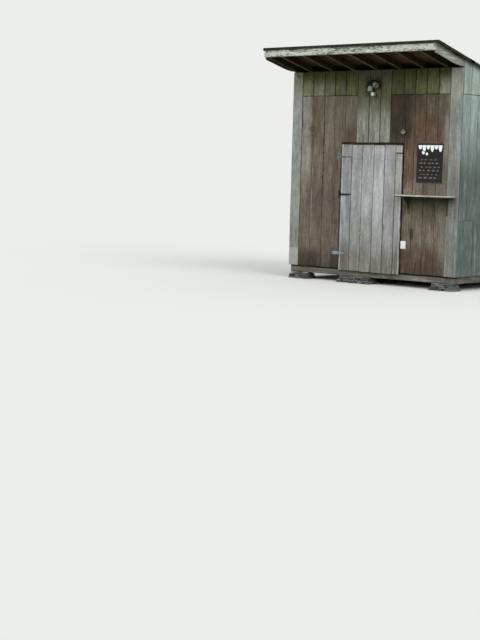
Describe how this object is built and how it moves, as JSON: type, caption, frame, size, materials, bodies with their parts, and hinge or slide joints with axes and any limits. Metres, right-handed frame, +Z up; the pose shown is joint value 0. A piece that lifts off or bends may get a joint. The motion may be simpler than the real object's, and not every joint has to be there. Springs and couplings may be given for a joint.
{
  "type": "wooden outhouse",
  "caption": "Board-clad wooden outhouse with a mono-pitch roof high at the front, a ledged door on T-hinges, a shelf, a blank sign board and stone piers.",
  "frame": {"origin": "on the ground under the middle of the overall outline", "axes": "+Z up, -Y out of the door wall, +X to the right of someone facing the door"},
  "size_m": [3.123, 3.301, 3.4581],
  "materials": {
    "stone": "rough flat field stone, dry laid",
    "sill_timber": "weathered grey timber",
    "framing_timber": "rough sawn timber, aged brown",
    "floor_boards": "worn floor boards",
    "corner_boards": "silvery weathered boards",
    "left_boards": "grey-brown weathered boards",
    "right_boards": "dark brown weathered boards",
    "upper_boards": "olive weathered boards with algae",
    "panel_boards": "grey weathered boards",
    "side_boards": "grey boards with pale green lichen",
    "rear_boards": "grey weathered boards",
    "roof_timber": "dark brown rough timber",
    "felt": "mineral roofing felt, mossy",
    "fascia": "worn whitish paint on timber",
    "barge": "pale weathered timber",
    "shelf_board": "pale weathered plank",
    "bracket_steel": "dark painted steel, rusting",
    "sign": "matt black painted board",
    "outlet": "white weatherproof cover",
    "peg": "turned pale wood",
    "lamp_box": "dark enamel",
    "lamp_head": "dull grey enamel with algae",
    "sensor": "pale plastic",
    "hinge_steel": "galvanised and black steel, weathered",
    "door_boards": "silver-grey weathered boards",
    "door_back": "rough sawn ledges"
  },
  "bodies": {
    "building": {"front_piers": "stone", "rear_piers": "stone", "front_rear_sills": "sill_timber", "side_sills": "sill_timber", "floor_joists": "framing_timber", "floor_boards": "floor_boards", "wall_posts": "framing_timber", "door_header": "framing_timber", "top_plates": "framing_timber", "front_girts": "framing_timber", "side_girts": "framing_timber", "rear_girts": "framing_timber", "corner_board_left": "corner_boards", "corner_board_right": "corner_boards", "front_boards_left": "left_boards", "front_boards_right": "right_boards", "over_door_left": "left_boards", "over_door_right": "right_boards", "upper_boards_left": "upper_boards", "upper_boards_right": "upper_boards", "centre_panel": "panel_boards", "left_wall_boards": "side_boards", "right_wall_boards": "side_boards", "rear_wall_boards": "rear_boards", "rafters": "roof_timber", "roof_boards": "roof_timber", "roof_sheathing": "roof_timber", "roof_felt": "felt", "front_fascia": "fascia", "rear_fascia": "fascia", "barge_left": "barge", "barge_right": "barge", "shelf": "shelf_board", "shelf_brackets": "bracket_steel", "sign_board": "sign", "outlet_cover": "outlet", "wall_peg": "peg", "lamp_box": "lamp_box", "lamp_heads": "lamp_head", "lamp_sensor": "sensor", "hinge_leaves": "hinge_steel"},
    "door": {"door_panel": "door_boards", "door_ledges": "door_back", "door_braces": "door_back", "hinge_straps": "hinge_steel"}
  },
  "joints": [
    {"name": "door_hinge", "type": "hinge", "parent": "building", "child": "door", "pos_m": [-0.579, -0.9405, 1.314], "axis": [0, 0, -1], "range_deg": [0, 110]}
  ]
}
